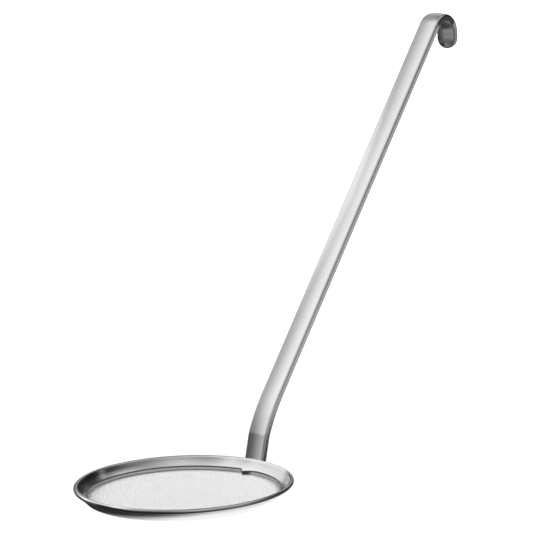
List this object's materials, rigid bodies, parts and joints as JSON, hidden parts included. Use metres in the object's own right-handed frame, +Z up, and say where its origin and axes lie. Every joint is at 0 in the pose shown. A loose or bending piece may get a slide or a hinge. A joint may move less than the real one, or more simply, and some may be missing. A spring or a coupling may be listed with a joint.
{
  "type": "mesh skimmer",
  "caption": "Round stainless steel skimmer with a shallow flared rim, a fine wire mesh floor and a long channel strap handle that ends in a hanging hook.",
  "frame": {"origin": "on the table under the middle of the tool's overall box, with the rim lying flat", "axes": "+X from the rim towards the handle's hook, +Y across the handle, +Z up"},
  "size_m": [0.4278, 0.16, 0.3183],
  "materials": {
    "rim_steel": "polished stainless steel sheet",
    "band_steel": "satin stainless steel strip and wire",
    "cloth_steel": "bright woven stainless steel wire",
    "handle_steel": "polished stainless steel strap with fine lengthwise brushing",
    "weld_steel": "wire-brushed weld metal"
  },
  "bodies": {
    "root": {"outer_hoop": "rim_steel", "rim_wire": "band_steel", "mesh_disc": "cloth_steel", "inner_band": "band_steel", "handle": "handle_steel", "foot_weld_left": "weld_steel", "foot_weld_right": "weld_steel"}
  },
  "joints": []
}
